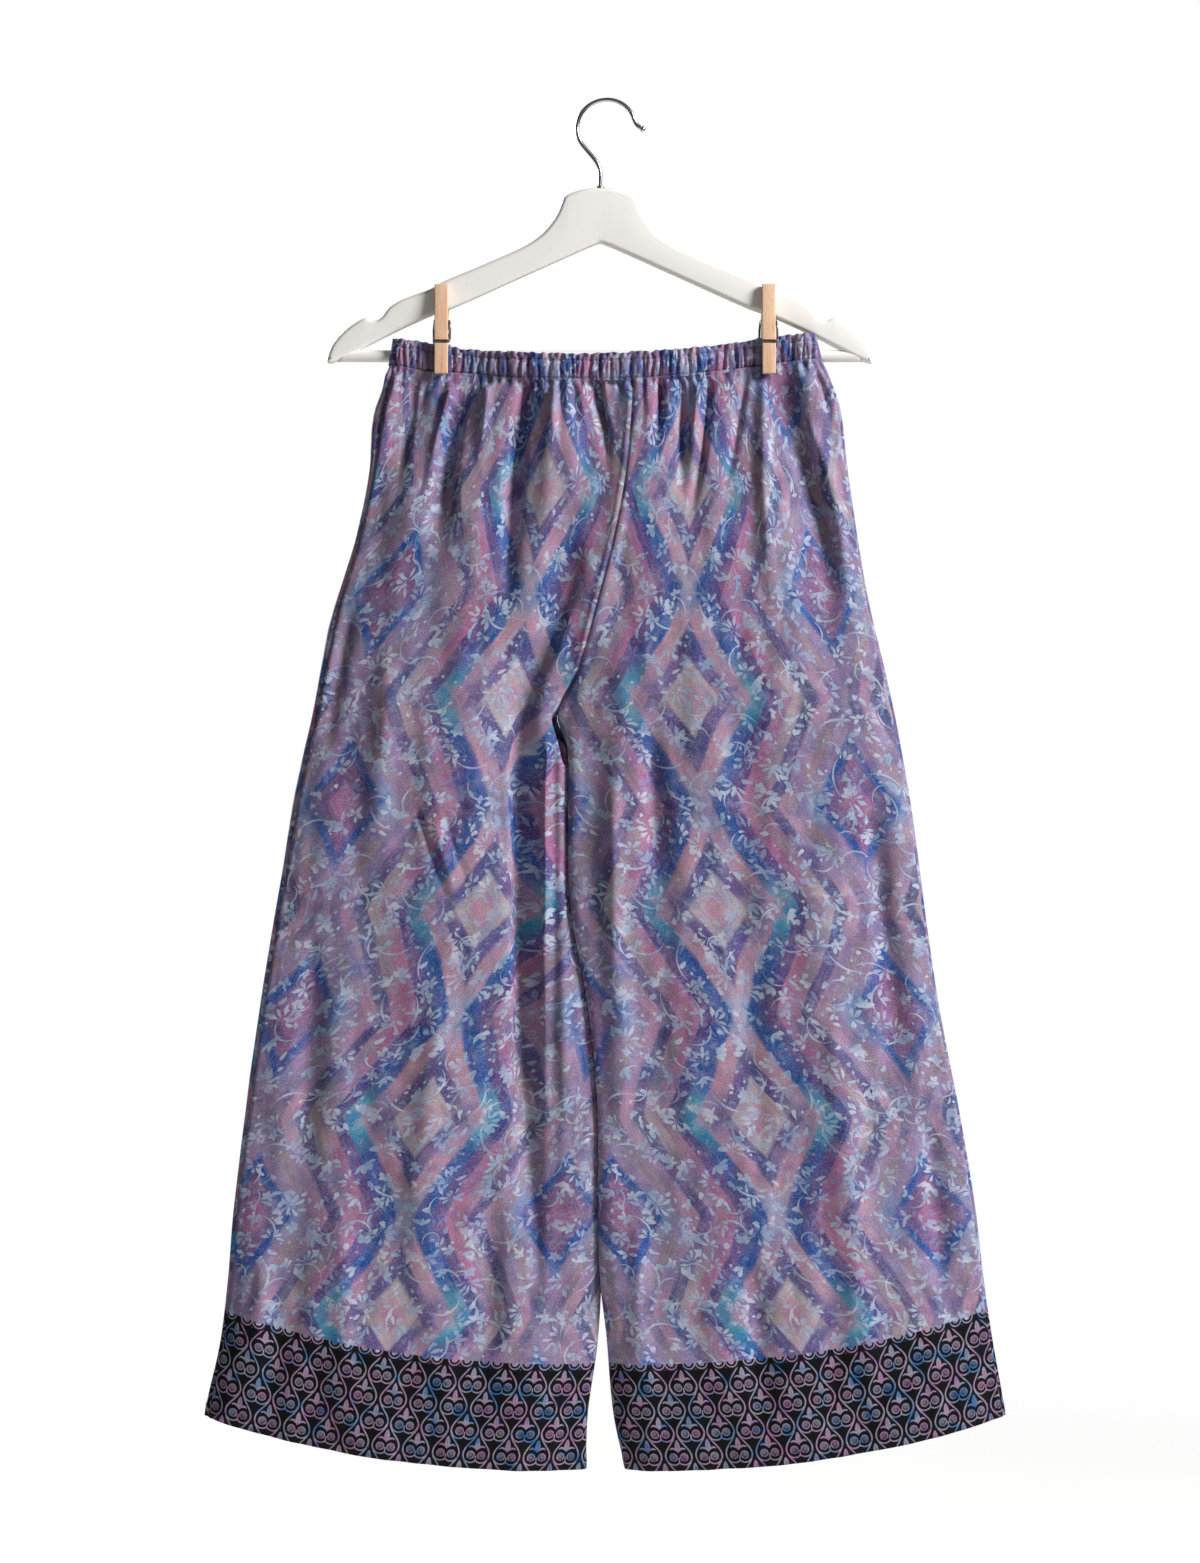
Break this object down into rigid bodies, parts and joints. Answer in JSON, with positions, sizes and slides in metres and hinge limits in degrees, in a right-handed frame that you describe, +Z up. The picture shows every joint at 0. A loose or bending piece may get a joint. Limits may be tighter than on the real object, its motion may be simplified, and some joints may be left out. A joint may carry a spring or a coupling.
{
  "type": "palazzo pants on a wooden clothes hanger",
  "caption": "Wide-legged cropped pants with a gathered elastic waist and printed cloth, hung flat from the bar of a wooden clothes hanger with wooden clothespins.",
  "frame": {"origin": "inside of the hook's crown, where the hanger rests on its rail", "axes": "+Z up along the hanging cloth, -Y towards the viewer of the garment's front, +X to that viewer's right"},
  "size_m": [0.6344, 0.0436, 1.0903],
  "materials": {
    "print_cloth": "light plain weave with a soft sheen, printed in mauve, blue and purple with a dark border",
    "white_paint": "wood under white satin paint",
    "bright_steel": "bright plated steel wire",
    "pale_wood": "bare pale beech, planed"
  },
  "bodies": {
    "root": {"panel_front_left": "print_cloth", "panel_front_right": "print_cloth", "panel_back_left": "print_cloth", "panel_back_right": "print_cloth", "casing_front": "print_cloth", "casing_back": "print_cloth", "hanger_body": "white_paint", "hanger_bar": "white_paint", "hanger_hook": "bright_steel", "pin_left_front": "pale_wood", "pin_left_back": "pale_wood", "pin_left_spring": "bright_steel", "pin_right_front": "pale_wood", "pin_right_back": "pale_wood", "pin_right_spring": "bright_steel"}
  },
  "joints": []
}
